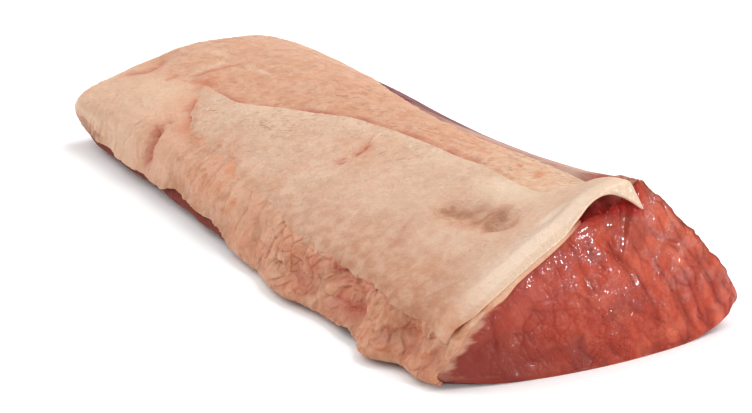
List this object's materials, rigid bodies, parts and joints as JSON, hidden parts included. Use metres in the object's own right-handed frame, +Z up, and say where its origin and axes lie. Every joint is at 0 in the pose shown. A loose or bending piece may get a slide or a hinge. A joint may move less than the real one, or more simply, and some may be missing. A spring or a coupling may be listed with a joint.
{
  "type": "half pork loin",
  "caption": "Half of a boneless pork loin: domed red cut face, pinkish inner fat hanging over one side and a paler trimmed fat sheet with a small flap at the cut.",
  "frame": {"origin": "centre of the bounding box at the flat underside", "axes": "+X along the loin towards the domed front cut, -Y towards the side that the fat hangs over, +Z up"},
  "size_m": [0.3828, 0.1562, 0.0713],
  "materials": {
    "lean": "moist raw meat, salmon red with darker seams",
    "inner_fat": "satin pinkish raw fat with fine fibres",
    "outer_fat": "satin cream fat with fine wrinkles"
  },
  "bodies": {
    "root": {"lean_loin": "lean", "inner_fat": "inner_fat", "outer_fat": "outer_fat"}
  },
  "joints": []
}
